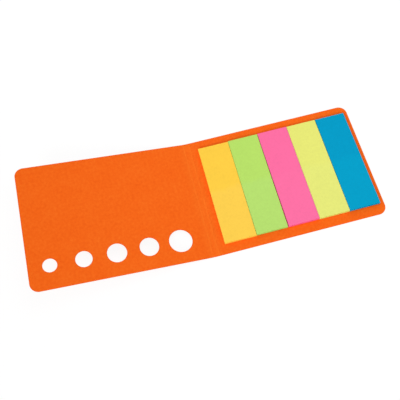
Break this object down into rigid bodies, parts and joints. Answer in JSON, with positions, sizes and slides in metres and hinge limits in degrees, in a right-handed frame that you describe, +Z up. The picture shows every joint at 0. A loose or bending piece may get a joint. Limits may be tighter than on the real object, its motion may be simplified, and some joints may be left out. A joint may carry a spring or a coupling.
{
  "type": "sticky index tabs in a card cover",
  "caption": "Folding card cover lying open, with stacks of sticky index tabs side by side on its back panel and a row of punched round windows in its front panel.",
  "frame": {"origin": "middle of the opened booklet's length and width, on the surface it lies on", "axes": "+X across the opened cover from the front panel to the tab stacks, +Y along the spine away from the punched holes, +Z up"},
  "size_m": [0.1638, 0.06, 0.0164],
  "materials": {
    "card": "matte",
    "amber_paper": "matte",
    "green_paper": "matte",
    "pink_paper": "matte",
    "lemon_paper": "matte",
    "blue_paper": "matte"
  },
  "bodies": {
    "back": {"back_cover": "card", "amber_tabs": "amber_paper", "green_tabs": "green_paper", "pink_tabs": "pink_paper", "lemon_tabs": "lemon_paper", "blue_tabs": "blue_paper"},
    "spine_strip": {"spine": "card"},
    "front": {"front_cover": "card"}
  },
  "joints": [
    {"name": "spine_fold", "type": "hinge", "parent": "back", "child": "spine_strip", "pos_m": [0.00067, 0, 0.00045], "axis": [0, 1, 0], "range_deg": [-2.7, 87.3]},
    {"name": "front_fold", "type": "hinge", "parent": "spine_strip", "child": "front", "pos_m": [-0.00213, 0, 0.00058], "axis": [0, 1, 0], "range_deg": [-8.5, 81.5]}
  ]
}
